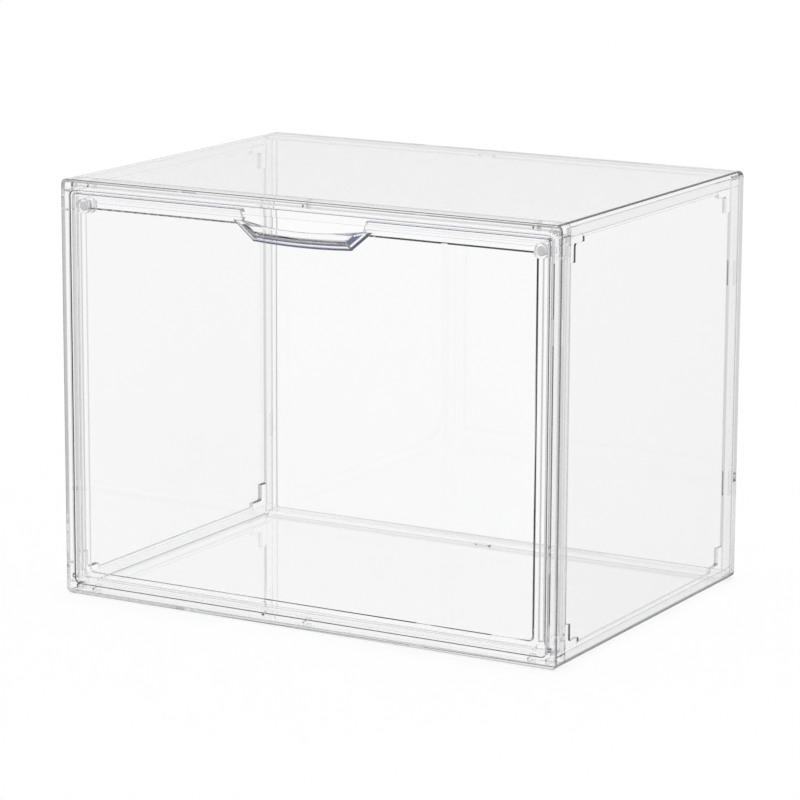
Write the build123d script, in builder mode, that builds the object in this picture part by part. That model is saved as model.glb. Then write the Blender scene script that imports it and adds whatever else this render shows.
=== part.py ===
"""Clear moulded display box with a drop-front door, in millimetres.

The door faces -Y, +Z is up, and the origin is the middle of the base's underside.
A front frame and a back panel carry four thin panels between them. The door turns
on two pins moulded on its foot, and two magnets at its head hold it shut.
Depths are counted rearwards from the frame's front face.
"""
import math
import os

from build123d import *

os.makedirs("parts", exist_ok=True)

# The whole box
WIDTH = 360.0
DEPTH = 258.0
HEIGHT = 273.0
WALL = 2.2  # moulded wall of every clear piece
CORNER_R = 3.6  # corners of the box seen from the front
EDGE_R = 0.5  # softened outer edge of the front frame and the back
JOINT_R = 0.3  # and their edges where they meet the panels
FIT_GAP = 0.2  # clearance between clear pieces that fit together
OVERRUN = 1.0  # how far a cut runs past the face where it leaves

# Front frame: a cored ring with a stop behind the door
FRAME_FACE = 7.0
FRAME_DEPTH = 11.6
OPENING_R = 3.5
OPENING_EDGE_R = 0.6
CORNER_RIB = 20.0  # distance of the core's outer ribs from the box's corners
CELL_RIB = 7.6  # and of the ribs that close the small cell in each corner
RIB_T = 1.2
STOP_GAP = 0.3  # closed door to the stop's magnet pads
STOP_T = 2.5
STOP_SIDE = 3.0  # how far the stop shows inside the ring
STOP_HEAD = 6.4  # and at the head, behind the finger notch

# Door: a plate with a cored rim behind it
DOOR_SETBACK = 0.3
DOOR_SIDE_GAP = 1.0
DOOR_FOOT_GAP = 1.0
DOOR_HEAD_GAP = 1.8
DOOR_RIM = 9.5
DOOR_FOOT_RIM = 8.0
DOOR_DEPTH = 5.4
DOOR_CORNER_R = 2.5
DOOR_FOOT_R = 2.5  # rounded foot that swings clear of the frame
DOOR_FOOT_CUT = 1.2  # foot's corners, cut clear of the opening's round corners
DOOR_EDGE_R = 0.5
DOOR_CORE = 3.3  # width of the groove in the rim
DOOR_STEP = 2.4  # height of the rim's inner band above the clear field
STEP_LEAN_SIDE = 0.56  # how far the band's upright walls lean back from the field
STEP_LEAN_HEAD = 0.85  # and its walls at the head and the pull
STEP_LEAN_FOOT = 1.12
PANEL_R = 3.0  # corners of the clear field inside the rim

# Hinge pins on the door's foot
PIN_R = 1.6
PIN_RUN = 0.05  # running clearance all round the pin
PIN_REACH = 2.8  # how far a pin goes into the frame
PIN_RISE = 3.5  # pin's centre above the door's lower edge
PIN_BLOCK = 7.0  # solid corner of the rim that carries the pin

# Finger pull: a shell bulged forward from the door, under a notch in its head
PULL_HALF = 46.9
PULL_SLANT_RUN = 11.6
PULL_SLANT_DROP = 9.7
PULL_SAG = 1.3
PULL_OUT = 4.5
PULL_RIDGE_IN = 4.8
PULL_RIDGE_R = 1.0
PULL_MOUTH_IN = 2.2  # hollow's outline at the plate's rear, inside the pull's outline
PULL_HEAD = 6.0  # how far the shell's blank rises past the rim before it is trimmed
NOTCH_HALF = 43.4
NOTCH_DROP = 6.7
NOTCH_SAG = 3.5
NOTCH_FLARE = 2.2  # how far the notch's short sides spread up to the door's head

# Magnets in the head corners of the door and the frame
MAGNET_R = 3.0
MAGNET_LENGTH = 3.0
MAGNET_FIT = 0.05
MAGNET_IN = 15.4  # centre from the box's side
MAGNET_DROP = 17.0  # centre from the box's top
MAGNET_BOSS_R = 4.75
MAGNET_BOSS_DEPTH = 7.2
MAGNET_PAD_R = 5.5
MAGNET_PAD_FLOOR = 1.0

# Side, top and base panels
SKIRT = 8.5  # turned-down sides of the top, turned-up sides of the base
TONGUE_REACH = 5.0  # how far a tongue goes into the frame's groove
TONGUE_ROOT = 1.9  # rib that joins a tongue to its panel
HOOK_LENGTH = 16.0
HOOK_OUT = 1.0
HOOK_RISE = 2.0
HOOK_BACK = 1.4  # hook's near side from the panel's edge
HOOK_DROP = 66.0  # hook's centre from the box's top and from its underside
PAD_T = 3.0  # raised L at each corner of a side panel
PAD_LONG = 19.2
PAD_TALL = 16.2
PAD_ARM_W = 5.0
PAD_LEG_W = 7.6
PAD_GUSSET = 1.2
PAD_LEAN = 0.26  # draft of the L's ends over its height
CATCH_LENGTH = 12.0  # small rounded catch at the rear of the top and the base
CATCH_W = 3.0
CATCH_T = 1.3

# Back panel: a plate with a rim, and a flange inside the other panels
BACK_RIM = 7.0
FLANGE_REACH = 10.0

# Places that several pieces share
groove_width = WALL + 2 * FIT_GAP
groove_inner = WALL + groove_width
tongue_inner = WALL + FIT_GAP + WALL
panel_front = FRAME_DEPTH + FIT_GAP
panel_back = DEPTH - BACK_RIM - FIT_GAP
flange_front = DEPTH - BACK_RIM - FLANGE_REACH
side_height = HEIGHT - 2 * (SKIRT + FIT_GAP)
tongue_end = CORNER_RIB + RIB_T / 2 + FIT_GAP
door_low = FRAME_FACE + DOOR_FOOT_GAP
door_high = HEIGHT - FRAME_FACE - DOOR_HEAD_GAP
door_half = WIDTH / 2 - FRAME_FACE - DOOR_SIDE_GAP
door_rear = DOOR_SETBACK + DOOR_DEPTH
pin_height = door_low + PIN_RISE
pin_depth = DOOR_SETBACK + DOOR_DEPTH / 2
stop_depth = DOOR_SETBACK + MAGNET_BOSS_DEPTH + STOP_GAP
magnet_height = HEIGHT - MAGNET_DROP
magnet_spots = [(side * (WIDTH / 2 - MAGNET_IN), magnet_height) for side in (-1, 1)]
magnet_hole_r = MAGNET_R + MAGNET_FIT
magnet_hole_depth = MAGNET_LENGTH + STOP_GAP / 3


def behind_front(depth):
    """Upright plane, depth behind the frame's face; a negative extrusion runs rearwards."""
    return Plane.XZ.offset(DEPTH / 2 - depth)


def ring(outer_in, outer_r, inner_in, inner_r):
    """Upright ring between two outlines that lie so far inside the box's own outline."""
    with Locations((0, HEIGHT / 2)):
        RectangleRounded(WIDTH - 2 * outer_in, HEIGHT - 2 * outer_in, outer_r)
        RectangleRounded(WIDTH - 2 * inner_in, HEIGHT - 2 * inner_in, inner_r, mode=Mode.SUBTRACT)


def bar(low, high, mode=Mode.ADD):
    """Rectangle between two corners of the current sketch."""
    with Locations(((low[0] + high[0]) / 2, (low[1] + high[1]) / 2)):
        Rectangle(high[0] - low[0], high[1] - low[1], mode=mode)


# Front frame
with BuildPart() as front_frame:
    with BuildSketch(behind_front(0)):
        ring(0, CORNER_R, FRAME_FACE, OPENING_R)
    extrude(amount=-FRAME_DEPTH)
    frame_face = front_frame.faces().sort_by(Axis.Y)[0]
    opening_edges = frame_face.inner_wires()[0].edges()
    joint_edges = front_frame.faces().sort_by(Axis.Y)[-1].outer_wire().edges()
    fillet(frame_face.outer_wire().edges(), EDGE_R)
    fillet(joint_edges, JOINT_R)
    fillet(opening_edges, OPENING_EDGE_R)
    # The core groove opens rearwards, and ribs cross it
    with BuildSketch(behind_front(WALL)):
        ring(WALL, CORNER_R - WALL, groove_inner, OPENING_R + FRAME_FACE - groove_inner)
        for reach in (CELL_RIB, CORNER_RIB):
            for side in (-1, 1):
                with Locations((side * (WIDTH / 2 - reach), HEIGHT / 2)):
                    Rectangle(RIB_T, HEIGHT, mode=Mode.SUBTRACT)
                with Locations((0, HEIGHT / 2 + side * (HEIGHT / 2 - reach))):
                    Rectangle(WIDTH, RIB_T, mode=Mode.SUBTRACT)
        with Locations((0, HEIGHT / 2)):
            Rectangle(RIB_T, HEIGHT, mode=Mode.SUBTRACT)
    extrude(amount=-FRAME_DEPTH, mode=Mode.SUBTRACT)
    # Stop behind the door, wider at the head
    with BuildSketch(behind_front(stop_depth)):
        with Locations((0, HEIGHT / 2)):
            Rectangle(WIDTH - 2 * groove_inner - WALL, HEIGHT - 2 * groove_inner - WALL)
        stop_low = FRAME_FACE + STOP_SIDE
        stop_half = WIDTH / 2 - stop_low
        bar((-stop_half, stop_low), (stop_half, HEIGHT - FRAME_FACE - STOP_HEAD), Mode.SUBTRACT)
    extrude(amount=-STOP_T)
    with BuildSketch(behind_front(stop_depth)):
        with Locations(magnet_spots):
            Circle(MAGNET_PAD_R)
    extrude(amount=-(magnet_hole_depth + MAGNET_PAD_FLOOR))
    with BuildSketch(behind_front(stop_depth)):
        with Locations(magnet_spots):
            Circle(magnet_hole_r)
    extrude(amount=-magnet_hole_depth, mode=Mode.SUBTRACT)
    # Holes for the door's pins
    for side in (-1, 1):
        with BuildSketch(Plane.YZ.offset(side * (WIDTH / 2 - FRAME_FACE - OVERRUN))):
            with Locations((pin_depth - DEPTH / 2, pin_height)):
                Circle(PIN_R + PIN_RUN)
        extrude(amount=side * (OVERRUN + PIN_REACH + FIT_GAP), mode=Mode.SUBTRACT)
    # Pockets that take the side panels' hooks
    hook_low = panel_front - TONGUE_REACH + HOOK_BACK - FIT_GAP
    for side in (-1, 1):
        for height in (HOOK_DROP, HEIGHT - HOOK_DROP):
            with BuildSketch(Plane.YZ.offset(side * (WIDTH / 2 - groove_inner))):
                with Locations((hook_low + HOOK_RISE / 2 + FIT_GAP - DEPTH / 2, height)):
                    Rectangle(HOOK_RISE + 2 * FIT_GAP, HOOK_LENGTH + 2 * FIT_GAP)
            extrude(amount=-side * HOOK_OUT, mode=Mode.SUBTRACT)


def pull_outline(inset):
    """Outline of the pull: two slants and a sagging foot, drawn so far inside itself."""
    rim_line = door_high - DOOR_RIM
    foot_half = PULL_HALF - PULL_SLANT_RUN
    foot_line = rim_line - PULL_SLANT_DROP
    head_half = PULL_HALF + PULL_HEAD * PULL_SLANT_RUN / PULL_SLANT_DROP
    with BuildLine() as outline:
        Line((foot_half, foot_line), (head_half, rim_line + PULL_HEAD))
        Line((head_half, rim_line + PULL_HEAD), (-head_half, rim_line + PULL_HEAD))
        Line((-head_half, rim_line + PULL_HEAD), (-foot_half, foot_line))
        ThreePointArc((-foot_half, foot_line), (0, foot_line - PULL_SAG), (foot_half, foot_line))
    make_face(outline.edges())
    if inset > 0:
        offset(amount=-inset, kind=Kind.INTERSECTION, mode=Mode.REPLACE)


def field_outline(lean_side, lean_head, lean_foot):
    """Outline of the clear field, which dips round the pull, grown by its walls' leans."""
    field_half = door_half - DOOR_RIM + lean_side
    field_low = door_low + DOOR_FOOT_RIM - lean_foot
    rim_line = door_high - DOOR_RIM + lean_head
    foot_line = rim_line - PULL_SLANT_DROP
    slant_length = math.hypot(PULL_SLANT_RUN, PULL_SLANT_DROP)
    pull_half = PULL_HALF - lean_head * (slant_length - PULL_SLANT_RUN) / PULL_SLANT_DROP
    foot_half = pull_half - PULL_SLANT_RUN
    with BuildLine() as outline:
        Polyline(
            (-foot_half, foot_line),
            (-pull_half, rim_line),
            (-field_half, rim_line),
            (-field_half, field_low),
            (field_half, field_low),
            (field_half, rim_line),
            (pull_half, rim_line),
            (foot_half, foot_line),
        )
        ThreePointArc((foot_half, foot_line), (0, foot_line - PULL_SAG), (-foot_half, foot_line))
    make_face(outline.edges())


def notch_outline(half, flare):
    """Region above the notch's smile-shaped edge, out to a half width and a flare above it."""
    edge_line = door_high - NOTCH_DROP
    top_line = door_high + PULL_HEAD
    top_half = half + flare * (top_line - edge_line) / NOTCH_DROP
    with BuildLine() as outline:
        ThreePointArc((-NOTCH_HALF, edge_line), (0, edge_line - NOTCH_SAG), (NOTCH_HALF, edge_line))
        if half > NOTCH_HALF:
            Line((NOTCH_HALF, edge_line), (half, edge_line))
            Line((-half, edge_line), (-NOTCH_HALF, edge_line))
        Line((half, edge_line), (top_half, top_line))
        Line((top_half, top_line), (-top_half, top_line))
        Line((-top_half, top_line), (-half, edge_line))
    make_face(outline.edges())


pull_front = DOOR_SETBACK - PULL_OUT
hollow_front = pull_front + WALL

# Outside of the finger pull, trimmed along the notch
with BuildPart() as pull_shell:
    with BuildSketch(behind_front(DOOR_SETBACK)):
        pull_outline(0)
    with BuildSketch(behind_front(pull_front)):
        pull_outline(PULL_RIDGE_IN)
    loft(ruled=True)
    fillet(pull_shell.faces().sort_by(Axis.Y)[0].edges().sort_by(Axis.Z)[:-1], PULL_RIDGE_R)
    with BuildSketch(behind_front(DOOR_SETBACK)):
        notch_outline(PULL_HALF + PULL_HEAD * 2, 0)
    extrude(amount=PULL_OUT + OVERRUN, mode=Mode.SUBTRACT)

# Hollow behind it, open to the rear and kept clear of the rim's core
with BuildPart() as pull_hollow:
    with BuildSketch(behind_front(DOOR_SETBACK + WALL)):
        pull_outline(PULL_MOUTH_IN)
    with BuildSketch(behind_front(hollow_front)):
        pull_outline(PULL_MOUTH_IN + PULL_RIDGE_IN)
    loft(ruled=True)
    with BuildSketch(behind_front(DOOR_SETBACK + WALL)):
        pull_outline(PULL_MOUTH_IN)
    extrude(amount=-(DOOR_DEPTH - WALL))
    with BuildSketch(behind_front(door_rear)):
        bar((-NOTCH_HALF - WALL / 2, 0), (NOTCH_HALF + WALL / 2, HEIGHT))
    extrude(amount=DOOR_DEPTH + PULL_OUT, mode=Mode.INTERSECT)

# Clear field's recess in the back of the door, with leaning walls
with BuildPart() as field_recess:
    for depth, share in ((DOOR_SETBACK + WALL, 0), (DOOR_SETBACK + WALL + DOOR_STEP, 1)):
        with BuildSketch(behind_front(depth)) as field:
            field_outline(share * STEP_LEAN_SIDE, share * STEP_LEAN_HEAD, share * STEP_LEAN_FOOT)
            across = field.vertices().group_by(Axis.X)
            fillet(across[0] + across[-1], PANEL_R)
    loft(ruled=True)

# Door
with BuildPart() as door:
    with BuildSketch(behind_front(DOOR_SETBACK)) as door_outline:
        bar((-door_half, door_low), (door_half, door_high))
        fillet(door_outline.vertices().group_by(Axis.Y)[-1], DOOR_CORNER_R)
        chamfer(door_outline.vertices().group_by(Axis.Y)[0], DOOR_FOOT_CUT)
    extrude(amount=-DOOR_DEPTH)
    fillet(door.edges().filter_by(Axis.X).group_by(Axis.Z)[0], DOOR_FOOT_R)
    fillet(door.faces().sort_by(Axis.Y)[0].edges().sort_by(Axis.Z)[1:], DOOR_EDGE_R)
    # Clear field, and the low band of the rim round it
    add(field_recess.part, mode=Mode.SUBTRACT)
    core_half = door_half - WALL
    inner_half = core_half - DOOR_CORE
    inner_low = door_low + WALL + DOOR_CORE
    inner_high = door_high - WALL - DOOR_CORE
    with BuildSketch(behind_front(DOOR_SETBACK + WALL + DOOR_STEP)):
        bar((-inner_half, inner_low), (inner_half, inner_high))
    extrude(amount=-DOOR_DEPTH, mode=Mode.SUBTRACT)
    # Core groove of the rim, broken at the pins
    with BuildSketch(behind_front(DOOR_SETBACK + WALL)):
        bar((-core_half, door_low + WALL), (core_half, door_high - WALL))
        bar((-inner_half, inner_low), (inner_half, inner_high), Mode.SUBTRACT)
        for side in (-1, 1):
            with Locations((side * (door_half - PIN_BLOCK / 2), door_low + DOOR_FOOT_RIM / 2)):
                Rectangle(PIN_BLOCK, DOOR_FOOT_RIM, mode=Mode.SUBTRACT)
    extrude(amount=-DOOR_DEPTH, mode=Mode.SUBTRACT)
    # Magnet bosses
    with BuildSketch(behind_front(DOOR_SETBACK)):
        with Locations(magnet_spots):
            Circle(MAGNET_BOSS_R)
    extrude(amount=-MAGNET_BOSS_DEPTH)
    with BuildSketch(behind_front(DOOR_SETBACK + MAGNET_BOSS_DEPTH)):
        with Locations(magnet_spots):
            Circle(magnet_hole_r)
    extrude(amount=magnet_hole_depth, mode=Mode.SUBTRACT)
    # Hinge pins
    for side in (-1, 1):
        with BuildSketch(Plane.YZ.offset(side * door_half)):
            with Locations((pin_depth - DEPTH / 2, pin_height)):
                Circle(PIN_R)
        extrude(amount=side * (DOOR_SIDE_GAP + PIN_REACH))
    # Finger pull
    with BuildSketch(behind_front(DOOR_SETBACK)):
        notch_outline(NOTCH_HALF, NOTCH_FLARE)
    extrude(amount=-DOOR_DEPTH, mode=Mode.SUBTRACT)
    add(pull_shell.part)
    add(pull_hollow.part, mode=Mode.SUBTRACT)


def magnet(spot, depth):
    """Round magnet lying along Y in its pocket."""
    with BuildPart() as disc:
        with BuildSketch(behind_front(depth)):
            with Locations(spot):
                Circle(MAGNET_R)
        extrude(amount=-MAGNET_LENGTH)
    return disc


door_magnet_depth = DOOR_SETBACK + MAGNET_BOSS_DEPTH - magnet_hole_depth
frame_magnet_depth = stop_depth + magnet_hole_depth - MAGNET_LENGTH


def pad_outline(depth, turn, lean):
    """Raised L in a top corner of a side panel, its free sides drawn in by a lean."""
    edge = depth - DEPTH / 2
    top = HEIGHT - SKIRT - FIT_GAP
    arm_end = edge + turn * (PAD_LONG - lean)
    leg_side = edge + turn * (PAD_LEG_W - lean)
    arm_low = top - PAD_ARM_W + lean
    leg_end = top - PAD_TALL + lean
    with BuildLine() as outline:
        Polyline(
            (edge, top),
            (arm_end, top),
            (arm_end, arm_low),
            (leg_side + turn * PAD_GUSSET, arm_low),
            (leg_side, arm_low - PAD_GUSSET),
            (leg_side, leg_end),
            (edge, leg_end),
            close=True,
        )
    make_face(outline.edges())


def tongue_outline(plate_edge, tip):
    """Section of a tongue and its root: across the panel's wall, then along the panel."""
    root = plate_edge + (TONGUE_ROOT if tip < plate_edge else -TONGUE_ROOT)
    step = WALL + FIT_GAP
    return [
        (step, tip),
        (tongue_inner, tip),
        (tongue_inner, root),
        (WALL, root),
        (WALL, plate_edge),
        (step, plate_edge),
    ]


# Right side panel; its lower half mirrors the upper one
with BuildPart() as right_panel:
    with BuildSketch(Plane.YZ.offset(WIDTH / 2 - WALL)):
        with Locations(((panel_front + panel_back - DEPTH) / 2, HEIGHT / 2)):
            Rectangle(panel_back - panel_front, side_height)
    extrude(amount=WALL)
    # Tongue in the front frame's groove
    with BuildSketch(Plane.XY.offset(HEIGHT / 2)):
        with BuildLine():
            section = tongue_outline(panel_front, panel_front - TONGUE_REACH)
            Polyline(*[(WIDTH / 2 - x, y - DEPTH / 2) for x, y in section], close=True)
        make_face()
    extrude(amount=HEIGHT / 2 - tongue_end)
    # Tongue inside the top panel's skirt
    with BuildSketch(behind_front(panel_front)):
        with BuildLine():
            section = tongue_outline(SKIRT + FIT_GAP, CORNER_R)
            Polyline(*[(WIDTH / 2 - x, HEIGHT - z) for x, z in section], close=True)
        make_face()
    extrude(amount=-(flange_front - FIT_GAP - panel_front))
    # Raised corner pads behind the frame and in front of the back's flange
    for depth, turn in ((panel_front, 1), (flange_front - FIT_GAP, -1)):
        with BuildSketch(Plane.YZ.offset(WIDTH / 2 - WALL)):
            pad_outline(depth, turn, 0)
        with BuildSketch(Plane.YZ.offset(WIDTH / 2 - WALL - PAD_T)):
            pad_outline(depth, turn, PAD_LEAN)
        loft(ruled=True)
    # Snap hooks on the tongue and beside the flange
    hook_front = panel_front - TONGUE_REACH + HOOK_BACK
    for depth, face in ((hook_front, tongue_inner), (panel_back - HOOK_BACK - HOOK_RISE, WALL)):
        with BuildSketch(Plane.YZ.offset(WIDTH / 2 - face)):
            with Locations((depth + HOOK_RISE / 2 - DEPTH / 2, HEIGHT - HOOK_DROP)):
                Rectangle(HOOK_RISE, HOOK_LENGTH)
        extrude(amount=-HOOK_OUT)
    mirror(about=Plane.XY.offset(HEIGHT / 2))

with BuildPart() as left_panel:
    mirror(right_panel.part, about=Plane.YZ)

# Top panel; the base is the same moulding turned over
with BuildPart() as top_panel:
    with BuildSketch(behind_front(panel_front)):
        ring(0, CORNER_R, WALL, CORNER_R - WALL)
        with Locations((0, HEIGHT - SKIRT / 2)):
            Rectangle(WIDTH, SKIRT, mode=Mode.INTERSECT)
    extrude(amount=-(panel_back - panel_front))
    # Tongue in the front frame's groove, split round the middle rib
    for side in (-1, 1):
        with BuildSketch(Plane.YZ.offset(side * (RIB_T / 2 + FIT_GAP))):
            with BuildLine():
                section = tongue_outline(panel_front, panel_front - TONGUE_REACH)
                Polyline(*[(y - DEPTH / 2, HEIGHT - x) for x, y in section], close=True)
            make_face()
        extrude(amount=side * (WIDTH / 2 - tongue_end - RIB_T / 2 - FIT_GAP))
    # Rounded catch in front of the back's flange
    with BuildSketch(Plane.XY.offset(HEIGHT - WALL)):
        with Locations((0, flange_front - FIT_GAP - CATCH_W / 2 - DEPTH / 2)):
            SlotOverall(CATCH_LENGTH, CATCH_W)
    extrude(amount=-CATCH_T)

with BuildPart() as base_panel:
    mirror(top_panel.part, about=Plane.XY.offset(HEIGHT / 2))

# Back panel
with BuildPart() as back_panel:
    with BuildSketch(behind_front(DEPTH - BACK_RIM)):
        with Locations((0, HEIGHT / 2)):
            RectangleRounded(WIDTH, HEIGHT, CORNER_R)
    extrude(amount=-BACK_RIM)
    joint_edges = back_panel.faces().sort_by(Axis.Y)[0].edges()
    fillet(back_panel.faces().sort_by(Axis.Y)[-1].edges(), EDGE_R)
    fillet(joint_edges, JOINT_R)
    flange_r = CORNER_R - WALL - FIT_GAP
    with BuildSketch(behind_front(flange_front)):
        with Locations((0, HEIGHT / 2)):
            flange_out = 2 * (WALL + FIT_GAP)
            RectangleRounded(WIDTH - flange_out, HEIGHT - flange_out, flange_r)
    extrude(amount=-FLANGE_REACH)
    with BuildSketch(behind_front(flange_front)):
        with Locations((0, HEIGHT / 2)):
            Rectangle(WIDTH - 2 * tongue_inner, HEIGHT - 2 * tongue_inner)
    extrude(amount=-(FLANGE_REACH + BACK_RIM - WALL), mode=Mode.SUBTRACT)
    # Pockets that take the side panels' hooks
    for side in (-1, 1):
        for height in (HOOK_DROP, HEIGHT - HOOK_DROP):
            with BuildSketch(Plane.YZ.offset(side * (WIDTH / 2 - WALL - FIT_GAP))):
                with Locations((panel_back - HOOK_BACK - HOOK_RISE / 2 - DEPTH / 2, height)):
                    Rectangle(HOOK_RISE + 2 * FIT_GAP, HOOK_LENGTH + 2 * FIT_GAP)
            extrude(amount=-side * HOOK_OUT, mode=Mode.SUBTRACT)

pieces = {
    "base_panel": base_panel,
    "top_panel": top_panel,
    "left_panel": left_panel,
    "right_panel": right_panel,
    "back_panel": back_panel,
    "front_frame": front_frame,
    "door": door,
}
for name, spot in zip(("left", "right"), magnet_spots):
    pieces[f"door_magnet_{name}"] = magnet(spot, door_magnet_depth)
    pieces[f"frame_magnet_{name}"] = magnet(spot, frame_magnet_depth)

for name, piece in pieces.items():
    piece.part.label = name
    export_step(piece.part, f"parts/{name}.step")
    print(name, "solids", len(piece.part.solids()), "volume", round(piece.part.volume, 1))
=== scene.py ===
# %% [markdown]
# # A clear moulded display box
# The box is seven thin mouldings of clear plastic and four small magnets. Its shape is
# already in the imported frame, down to the snap hooks and the rounded edges, so this
# lesson is about what clear plastic needs in order to be seen at all. It has no colour
# of its own. What draws it is light that its edges bend or lead away to something
# darker, so the studio around the box matters as much as the material.

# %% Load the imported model
import math

import bpy
import numpy as np
from mathutils import Matrix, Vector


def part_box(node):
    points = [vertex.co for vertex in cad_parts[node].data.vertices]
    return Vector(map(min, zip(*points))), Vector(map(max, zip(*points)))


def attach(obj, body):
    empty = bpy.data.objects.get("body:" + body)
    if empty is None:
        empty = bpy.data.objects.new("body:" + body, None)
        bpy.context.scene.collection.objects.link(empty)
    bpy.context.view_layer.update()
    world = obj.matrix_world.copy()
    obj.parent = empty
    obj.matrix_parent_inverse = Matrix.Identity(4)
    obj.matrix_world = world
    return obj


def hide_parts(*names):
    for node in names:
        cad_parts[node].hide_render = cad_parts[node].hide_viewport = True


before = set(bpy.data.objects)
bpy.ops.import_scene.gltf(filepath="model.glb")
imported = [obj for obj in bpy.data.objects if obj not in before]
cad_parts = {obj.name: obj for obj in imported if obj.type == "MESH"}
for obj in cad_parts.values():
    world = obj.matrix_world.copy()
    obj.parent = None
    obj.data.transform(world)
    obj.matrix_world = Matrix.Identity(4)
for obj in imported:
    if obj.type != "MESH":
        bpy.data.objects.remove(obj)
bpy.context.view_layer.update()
scene = bpy.context.scene
scene.view_settings.view_transform = "Standard"
MM = 0.001  # a millimetre in metres
print("nodes:", sorted(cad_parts))

# %% [markdown]
# ## Camera
# A long lens from the right and a little above flattens the box, so that its uprights
# stay nearly parallel. The place, the three turns and the lens were solved from where
# the box's edges run in the picture. A camera with a target to look at would be easier
# to set up, but it can't hold the small roll that the picture has.

# %% Camera
CAMERA_PLACE = (1.14366, -2.0097, 0.61804)  # metres
CAMERA_AZIMUTH = math.radians(29.717)  # turn to the right of the box's own front
CAMERA_DROP = math.radians(12.050)  # tip below the level
CAMERA_ROLL = math.radians(0.264)
CAMERA_LENS = 162.86  # millimetres, as is the sensor's width
CAMERA_SENSOR = 36.0
CAMERA_REACH = 50.0  # metres to the farthest thing it sees


def make_camera():
    """Camera that looks along its azimuth, tipped down, and rolled about its own axis."""
    data = bpy.data.cameras.new("camera")
    data.lens = CAMERA_LENS
    data.sensor_width = CAMERA_SENSOR
    data.clip_end = CAMERA_REACH
    camera = bpy.data.objects.new("camera", data)
    scene.collection.objects.link(camera)
    turn = Matrix.Rotation(CAMERA_AZIMUTH, 4, "Z")
    aim = turn @ Matrix.Rotation(math.pi / 2 - CAMERA_DROP, 4, "X")
    roll = Matrix.Rotation(CAMERA_ROLL, 4, "Z")
    camera.matrix_world = Matrix.Translation(CAMERA_PLACE) @ aim @ roll
    scene.camera = camera
    return camera


camera = make_camera()
print("camera at", tuple(round(v, 3) for v in camera.location))

# %% [markdown]
# ## Sums in nodes
# The studio and the plastic below follow rules, such as "mirrored more often than this
# and from below". A node tree holds such a rule as one small node for each sum. The
# nodes could be drawn by hand in the editor, but written through these helpers, a rule
# reads nearly as it is spoken. A switch is a number that is 0 or 1.

# %% Sums in nodes


def sum_node(tree, operation, *values):
    """Math node on sockets or plain numbers, and its result."""
    node = tree.nodes.new("ShaderNodeMath")
    node.operation = operation
    for socket, value in zip(node.inputs, values):
        if isinstance(value, (int, float)):
            socket.default_value = value
        else:
            tree.links.new(value, socket)
    return node.outputs["Value"]


def over(tree, value, limit):
    """Switch: 1 where the value is more than the limit."""
    return sum_node(tree, "GREATER_THAN", value, limit)


def under(tree, value, limit):
    """Switch: 1 where the value is less than the limit."""
    return sum_node(tree, "LESS_THAN", value, limit)


def times(tree, first, second):
    """Product, such as a share of a level. Of two switches it is 1 where both are 1."""
    return sum_node(tree, "MULTIPLY", first, second)


def either(tree, first, second):
    """Larger of the two: 1 where one of them is 1."""
    return sum_node(tree, "MAXIMUM", first, second)


def choose(tree, switch, low, high):
    """Low where the switch is 0 and high where it is 1: low + (high - low) * switch."""
    gap = sum_node(tree, "SUBTRACT", high, low)
    return sum_node(tree, "ADD", times(tree, gap, switch), low)


def split_axes(tree, vector):
    """Outputs X, Y and Z of a vector."""
    node = tree.nodes.new("ShaderNodeSeparateXYZ")
    tree.links.new(vector, node.inputs["Vector"])
    return node.outputs


print("helpers for sums in nodes are ready")

# %% [markdown]
# ## A studio of light and dark
# Clear ware is photographed against white, with darker things just out of view. Light
# that comes straight through a flat wall shows the white. Light that a wall mirrors
# shows the soft boxes, brighter above than below. Light that runs a long way inside one
# wall, from edge to edge, comes out where the studio is dark, and it draws the door's
# outline. The Light Path node counts how often light was mirrored and how many surfaces
# it went through, so one world can hold all of these. Lamps and cards around the box
# could do the same, but would then show in its walls.

# %% Levels of the studio
WHITE = (1, 1, 1, 1)
SEEN_LEVEL = 1.0  # studio seen straight, and the most that the mirrored studio reaches
STUDIO_LEVEL = 0.80  # brightness of the mirrored studio at the height of the eye
STUDIO_RISE = 0.475  # gain towards the zenith, and loss towards the ground
STUDIO_SIDE = -0.083  # change towards +X, where the studio is a little darker
SECOND_SHARE = 0.90  # share that light mirrored twice keeps
GUIDED_SHARE = 0.88  # share that light led along several mouldings keeps
ROOM_LEVEL = 0.02  # dark room that light led along one moulding ends in
ROOM_SIDE = -0.43  # light led a long way and out to the front is dark only left of this
print("mirrored studio:", STUDIO_LEVEL, "at the height of the eye")

# %% [markdown]
# The counts are whole numbers, so each limit lies halfway between two of them.

# %% Limits of the counts
AT_ALL = 0.5  # mirrored more often than this, light isn't seen straight
TWICE = 1.5  # and more often than this, it was mirrored twice or more
OFTEN = 2.5  # and more often than this, it counts as led along a wall
FAR = 30.5  # and more often than this, as led a long way
SEVERAL = 5.5  # light that crossed more surfaces than this went through several mouldings
print("limits of mirrored light:", AT_ALL, TWICE, OFTEN, FAR)

# %% [markdown]
# ## The rule of the studio
# Seen straight the studio is white, mirrored once it has its level, and mirrored twice
# a little less. Mirrored more often, light was led inside the plastic. It ends in a
# dark room, unless it went through several mouldings, or a long way and then out below
# or to the front. A picture of a studio wrapped round the scene could hold the levels,
# but not these counts.

# %% The studio


def studio_level(tree, across, up):
    """STUDIO_LEVEL + STUDIO_RISE * up + STUDIO_SIDE * across, and at most SEEN_LEVEL."""
    lean = sum_node(tree, "ADD", times(tree, up, STUDIO_RISE), times(tree, across, STUDIO_SIDE))
    return sum_node(tree, "MINIMUM", sum_node(tree, "ADD", lean, STUDIO_LEVEL), SEEN_LEVEL)


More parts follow.
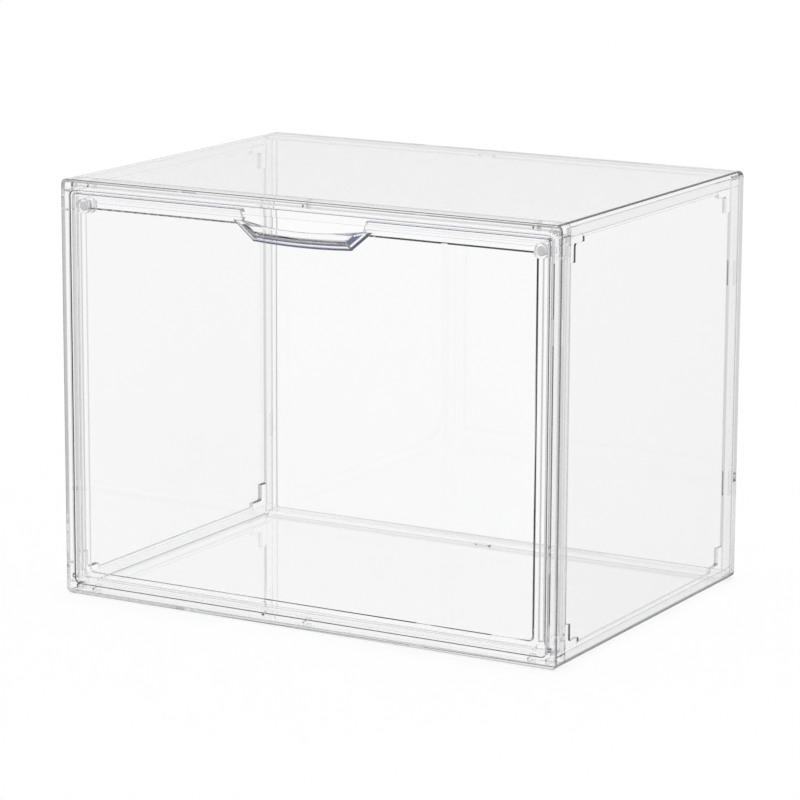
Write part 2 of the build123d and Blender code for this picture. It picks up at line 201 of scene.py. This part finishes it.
def led_light(tree, axes, path, level):
    """Light led along a wall: dark, or pale by one of the two rules above."""
    front = times(tree, under(tree, axes["Y"], 0.0), over(tree, axes["X"], ROOM_SIDE))
    side = either(tree, front, under(tree, axes["Z"], 0.0))
    long_way = times(tree, side, over(tree, path.outputs["Glossy Depth"], FAR))
    pale = either(tree, long_way, over(tree, path.outputs["Transmission Depth"], SEVERAL))
    return choose(tree, pale, ROOM_LEVEL, times(tree, level, GUIDED_SHARE))


def make_studio():
    """World whose strength depends on how light came to it, and from which side."""
    world = bpy.data.worlds.new("studio")
    scene.world = world
    world.use_nodes = True
    tree = world.node_tree
    tree.nodes.clear()
    axes = split_axes(tree, tree.nodes.new("ShaderNodeTexCoord").outputs["Generated"])
    path = tree.nodes.new("ShaderNodeLightPath")
    mirrored = path.outputs["Glossy Depth"]
    level = studio_level(tree, axes["X"], axes["Z"])
    second = times(tree, level, SECOND_SHARE)
    strength = choose(tree, over(tree, mirrored, OFTEN), second, led_light(tree, axes, path, level))
    strength = choose(tree, over(tree, mirrored, TWICE), level, strength)
    strength = choose(tree, over(tree, mirrored, AT_ALL), SEEN_LEVEL, strength)
    light = tree.nodes.new("ShaderNodeBackground")
    light.inputs["Color"].default_value = WHITE
    tree.links.new(strength, light.inputs["Strength"])
    out = tree.nodes.new("ShaderNodeOutputWorld")
    tree.links.new(light.outputs["Background"], out.inputs["Surface"])
    return world


print("studio:", len(make_studio().node_tree.nodes), "nodes")

# %% [markdown]
# ## Table
# The box stands on a plain white table. Seen straight it is nearly as bright as the
# background, with only a faint shadow under the box. Mirrored light passes through it,
# as if the table were far below, because the studio above already holds what the walls
# mirror from that side.

# %% Table
TABLE_HALF = 6.0  # half of the table's side in metres
TABLE_DROP = 0.5 * MM  # gap that keeps the base from lying in the table's own plane
TABLE_GLOW = 0.72  # share of the table that is evenly lit, which softens the shadow


def mix_shader(tree, factor, low, high):
    """Shader that is low where the factor is 0, and high where it is 1."""
    node = tree.nodes.new("ShaderNodeMixShader")
    for socket, value in zip(node.inputs, (factor, low, high)):
        tree.links.new(value, socket)
    return node.outputs["Shader"]


def white_table():
    """Part matt white and part evenly lit, and clear to mirrored light."""
    material = bpy.data.materials.new("white_table")
    material.use_nodes = True
    tree = material.node_tree
    tree.nodes.clear()
    matt = tree.nodes.new("ShaderNodeBsdfDiffuse")
    matt.inputs["Color"].default_value = WHITE
    glow = tree.nodes.new("ShaderNodeEmission")
    clear = tree.nodes.new("ShaderNodeBsdfTransparent")
    path = tree.nodes.new("ShaderNodeLightPath")
    seen = either(tree, path.outputs["Is Camera Ray"], path.outputs["Is Transmission Ray"])
    lit = mix_shader(tree, times(tree, seen, TABLE_GLOW),
                     matt.outputs["BSDF"], glow.outputs["Emission"])
    whole = mix_shader(tree, over(tree, path.outputs["Glossy Depth"], AT_ALL),
                       lit, clear.outputs["BSDF"])
    out = tree.nodes.new("ShaderNodeOutputMaterial")
    tree.links.new(whole, out.inputs["Surface"])
    return material


def make_table():
    """Square of side 2 * TABLE_HALF, a little below the box."""
    corners = [(x * TABLE_HALF, y * TABLE_HALF, -TABLE_DROP)
               for x, y in ((-1, -1), (1, -1), (1, 1), (-1, 1))]
    mesh = bpy.data.meshes.new("table")
    mesh.from_pydata(corners, [], [(0, 1, 2, 3)])
    mesh.materials.append(white_table())
    table = bpy.data.objects.new("table", mesh)
    scene.collection.objects.link(table)
    return table


print("table:", make_table().name)

# %% [markdown]
# ## Clear plastic
# The mouldings are clear styrene-like plastic with polished walls. Real bending of light
# gives the doubled lines of each wall and the mirrored ribs. Two things are added by
# nodes. A slow noise makes the plastic a hair less clear in places, as moulded walls
# are where the melt met. And the small rounded edges are painted a shade darker, which
# stands in for the dark lines that bent light draws on them. Lines drawn on the edges
# would be another way, but they would not bend with the walls in front of them. The
# nodes find such an edge by its normal, which leans out of the depth axis but isn't
# square to it, and the crest of a long round corner by how far its normal points up.
# The normal and the place are read in object space, so that the painted shade stays on
# the edge when the door turns.

# %% Finish and painted shade of the plastic
PLASTIC_IOR = 1.49
FLOW_SCALE = 14.0  # waves of the melt in a metre
FLOW_CLEAR = (0.999, 0.999, 0.999, 1)
FLOW_DULL = (0.990, 0.992, 0.993, 1)
# Limits of the painted shade, by the parts of the normal; crests take a weaker share of it.
LEAN_STEEP = (0.998, 0.93)  # depth part of the normal where the shade starts, and is full
LEAN_FLAT = (0.03, 0.12)  # the same from the other side, so that long round corners stay clear
CREST_LOW = (0.84, 0.88)  # upward part of the normal on the crest of a long round corner
CREST_HIGH = (0.9995, 0.995)  # the same from the other side, so that flat tops stay clear
CREST_SHARE = 0.8  # share of the shade that a crest takes


def ramp_node(tree, value, start, end):
    """0 up to start and 1 from end on, straight between, in either direction."""
    node = tree.nodes.new("ShaderNodeMapRange")
    node.inputs["From Min"].default_value, node.inputs["From Max"].default_value = start, end
    tree.links.new(value, node.inputs["Value"])
    return node.outputs["Result"]


def mix_node(tree, factor, first, second):
    """Mix of two colours, each a socket or plain numbers."""
    node = tree.nodes.new("ShaderNodeMix")
    node.data_type = "RGBA"
    tree.links.new(factor, node.inputs["Factor"])
    for name, colour in (("A", first), ("B", second)):
        if isinstance(colour, tuple):
            node.inputs[name].default_value = colour
        else:
            tree.links.new(colour, node.inputs[name])
    return node.outputs["Result"]


def within(tree, value, rise, fall):
    """1 where the value is past both ramps: the smaller of the two."""
    return sum_node(tree, "MINIMUM", ramp_node(tree, value, *rise), ramp_node(tree, value, *fall))


def painted_shade_share(tree, normal):
    """Share of painted shade: 1 on small roundings, CREST_SHARE on crests that don't lean in depth.
    """
    depth = sum_node(tree, "ABSOLUTE", normal["Y"])
    small = within(tree, depth, LEAN_STEEP, LEAN_FLAT)
    crest = sum_node(tree, "MINIMUM", within(tree, normal["Z"], CREST_LOW, CREST_HIGH),
                     under(tree, depth, LEAN_FLAT[0]))
    return either(tree, small, times(tree, crest, CREST_SHARE))


print("edges lean in depth between", LEAN_FLAT[0], "and", LEAN_STEEP[0])

# %% Clear plastic


def clear_plastic(name, shade, reach=None):
    """Polished clear plastic whose edges take a painted shade, within reach where it is given."""
    material = bpy.data.materials.new(name)
    material.use_nodes = True
    tree = material.node_tree
    shader = tree.nodes["Principled BSDF"]
    shader.inputs["Transmission Weight"].default_value = 1.0
    shader.inputs["Roughness"].default_value = 0.0
    shader.inputs["IOR"].default_value = PLASTIC_IOR
    place = tree.nodes.new("ShaderNodeTexCoord")
    flow = tree.nodes.new("ShaderNodeTexNoise")
    flow.inputs["Scale"].default_value = FLOW_SCALE
    tree.links.new(place.outputs["Object"], flow.inputs["Vector"])
    melt = mix_node(tree, flow.outputs["Fac"], FLOW_CLEAR, FLOW_DULL)
    normal = split_axes(tree, place.outputs["Normal"])
    # Painted shade: the edges' base colour is mixed towards the dark colour given as shade.
    edge = painted_shade_share(tree, normal)
    if reach:
        edge = times(tree, edge, reach(tree, split_axes(tree, place.outputs["Object"]), normal))
    tree.links.new(mix_node(tree, edge, melt, shade), shader.inputs["Base Color"])
    return material


print("refractive index:", PLASTIC_IOR)

# %% [markdown]
# On the door only the lines in its front face are painted dark, and not the large round of
# its foot or the sloping sides of the pull. So its painted shade keeps near that face, and
# above the foot. The other mouldings take the painted shade on all their edges. Each
# painted shade is the colour of the lines in the picture: nearly black on the door, a
# little paler on the frame, and palest on the thin panels.

# %% The three plastics
# Painted shades: dark colours that the edges take, standing in for lines that bent light draws.
DOOR_PAINTED_SHADE = (0.03, 0.035, 0.08, 1)
FRAME_PAINTED_SHADE = (0.05, 0.055, 0.085, 1)
PANEL_PAINTED_SHADE = (0.10, 0.105, 0.13, 1)
# The door's painted shade draws its dark lines within these reaches.
DOOR_FIELD = -0.1287  # place in depth of the door's front face, in metres
DOOR_LINE_FRONT = 1.4 * MM  # reach of its dark lines in front of that face
DOOR_LINE_REAR = 0.55 * MM  # and behind it, at the pull
PULL_HALF = 0.0475  # half of the pull's width in metres
DOOR_FOOT = 0.015  # height in metres above which the door's edges are dark


# Where the door's painted shade falls.
def door_painted_shade_reach(tree, spot, normal):
    """Switch: 1 on what faces forward, near the front face, over the foot, shallow at the pull."""
    facing = under(tree, normal["Y"], 0.0)
    near = over(tree, spot["Y"], DOOR_FIELD - DOOR_LINE_FRONT)
    beside = over(tree, sum_node(tree, "ABSOLUTE", spot["X"]), PULL_HALF)
    shallow = under(tree, spot["Y"], DOOR_FIELD + DOOR_LINE_REAR)
    above = over(tree, spot["Z"], DOOR_FOOT)
    layer = times(tree, times(tree, facing, near), either(tree, beside, shallow))
    return times(tree, layer, above)


plastics = {
    "door": clear_plastic("clear_plastic_door", DOOR_PAINTED_SHADE, door_painted_shade_reach),
    "front_frame": clear_plastic("clear_plastic_frame", FRAME_PAINTED_SHADE),
}
panel_plastic = clear_plastic("clear_plastic_panels", PANEL_PAINTED_SHADE)
print("plastics:", sorted(plastics), "and one for the panels")

# %% [markdown]
# ## Nickel
# The magnets are plated with nickel, which is pale, and satin rather than mirror
# bright. One grey would do at this size, but would look painted when seen from near.
# Fine noise in the roughness and the tone gives the tumbled look of such plating, and a
# weak bump keeps its flat ends from mirroring like glass.

# %% Nickel
NICKEL_PALE = (0.84, 0.84, 0.85, 1)
NICKEL_DULL = (0.70, 0.70, 0.71, 1)
NICKEL_GRAIN = 1800.0  # grains in a metre
NICKEL_ROUGH = (0.24, 0.40)
NICKEL_BUMP = 0.02 * MM


def nickel():
    """Satin metal whose tone, roughness and height follow one fine noise."""
    material = bpy.data.materials.new("nickel")
    material.use_nodes = True
    tree = material.node_tree
    shader = tree.nodes["Principled BSDF"]
    shader.inputs["Metallic"].default_value = 1.0
    noise = tree.nodes.new("ShaderNodeTexNoise")
    noise.inputs["Scale"].default_value = NICKEL_GRAIN
    place = tree.nodes.new("ShaderNodeTexCoord")
    tree.links.new(place.outputs["Object"], noise.inputs["Vector"])
    grain = noise.outputs["Fac"]
    tone = mix_node(tree, grain, NICKEL_PALE, NICKEL_DULL)
    tree.links.new(tone, shader.inputs["Base Color"])
    rough = tree.nodes.new("ShaderNodeMapRange")
    rough.inputs["To Min"].default_value, rough.inputs["To Max"].default_value = NICKEL_ROUGH
    tree.links.new(grain, rough.inputs["Value"])
    tree.links.new(rough.outputs["Result"], shader.inputs["Roughness"])
    bump = tree.nodes.new("ShaderNodeBump")
    bump.inputs["Distance"].default_value = NICKEL_BUMP
    tree.links.new(grain, bump.inputs["Height"])
    tree.links.new(bump.outputs["Normal"], shader.inputs["Normal"])
    return material


plating = nickel()
print("plating:", plating.name)

# %% [markdown]
# ## Magnets
# Each magnet is a disc that is pressed into its boss, and the modelled solid touches the
# plastic all round. Two surfaces in one place confuse a ray, so each disc is made anew,
# a hair smaller, with the small chamfer that plated magnets have. It is a profile
# turned about the door's own depth, which takes fewer lines than a primitive and a
# bevel.

# %% Magnets
MAGNET_INSET = 0.05 * MM  # gap between the magnet and its pocket
MAGNET_CHAMFER = 0.25 * MM
MAGNET_STEPS = 64  # corners round the disc


def magnet_disc(node):
    """Profile of (radius, y) pairs turned about Y: x = r cos(a), z = r sin(a), with flat ends."""
    low, high = (np.array(corner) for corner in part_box(node))
    radius = (high[0] - low[0]) / 2 - MAGNET_INSET
    reach = (high[1] - low[1]) / 2 - MAGNET_INSET
    rim = radius - MAGNET_CHAMFER
    lip = reach - MAGNET_CHAMFER
    turned = np.array([(rim, -reach), (radius, -lip), (radius, lip), (rim, reach)])
    angle = 2 * np.pi * np.arange(MAGNET_STEPS) / MAGNET_STEPS
    along = np.repeat(turned[:, 1:], MAGNET_STEPS, axis=1)
    points = np.stack([turned[:, :1] * np.cos(angle), along, turned[:, :1] * np.sin(angle)], axis=2)
    rows = np.arange(len(turned) - 1)
    row, step = np.meshgrid(rows, np.arange(MAGNET_STEPS), indexing="ij")
    here = row * MAGNET_STEPS + step
    after = row * MAGNET_STEPS + (step + 1) % MAGNET_STEPS
    wall = np.stack([here, here + MAGNET_STEPS, after + MAGNET_STEPS, after], axis=2)
    last = (len(turned) - 1) * MAGNET_STEPS
    ends = [list(range(MAGNET_STEPS)), list(range(last + MAGNET_STEPS - 1, last - 1, -1))]
    mesh = bpy.data.meshes.new(node + "_disc")
    mesh.from_pydata((points.reshape(-1, 3) + (low + high) / 2).tolist(), [],
                     wall.reshape(-1, 4).tolist() + ends)
    disc = bpy.data.objects.new(node + "_disc", mesh)
    scene.collection.objects.link(disc)
    mesh.materials.append(plating)
    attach(disc, "door" if node.startswith("door") else "case")
    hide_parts(node)
    return disc


for node in sorted(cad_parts):
    if "magnet" in node:
        print("disc:", magnet_disc(node).name, "of", MAGNET_STEPS, "steps")

# %% [markdown]
# ## Dress the mouldings
# The mouldings keep their own meshes and only get their plastic. Visible meshes made
# anew would have to repeat every rib and hook, and could be no closer to the moulds.

# %% Dress the mouldings
for node, moulding in sorted(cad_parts.items()):
    if "magnet" not in node:
        moulding.data.materials.clear()
        moulding.data.materials.append(plastics.get(node, panel_plastic))
        print("dressed:", node)

# %% [markdown]
# ## Bounces
# A wall leads light from one edge of the box to the other in more than a hundred
# bounces. Cut short, that light turns black and draws thick lines that the box hasn't.

# %% Bounces
BOUNCES = 200
scene.cycles.max_bounces = BOUNCES
scene.cycles.glossy_bounces = BOUNCES
scene.cycles.transmission_bounces = BOUNCES
scene.cycles.blur_glossy = 0.0
print("bounces:", BOUNCES)
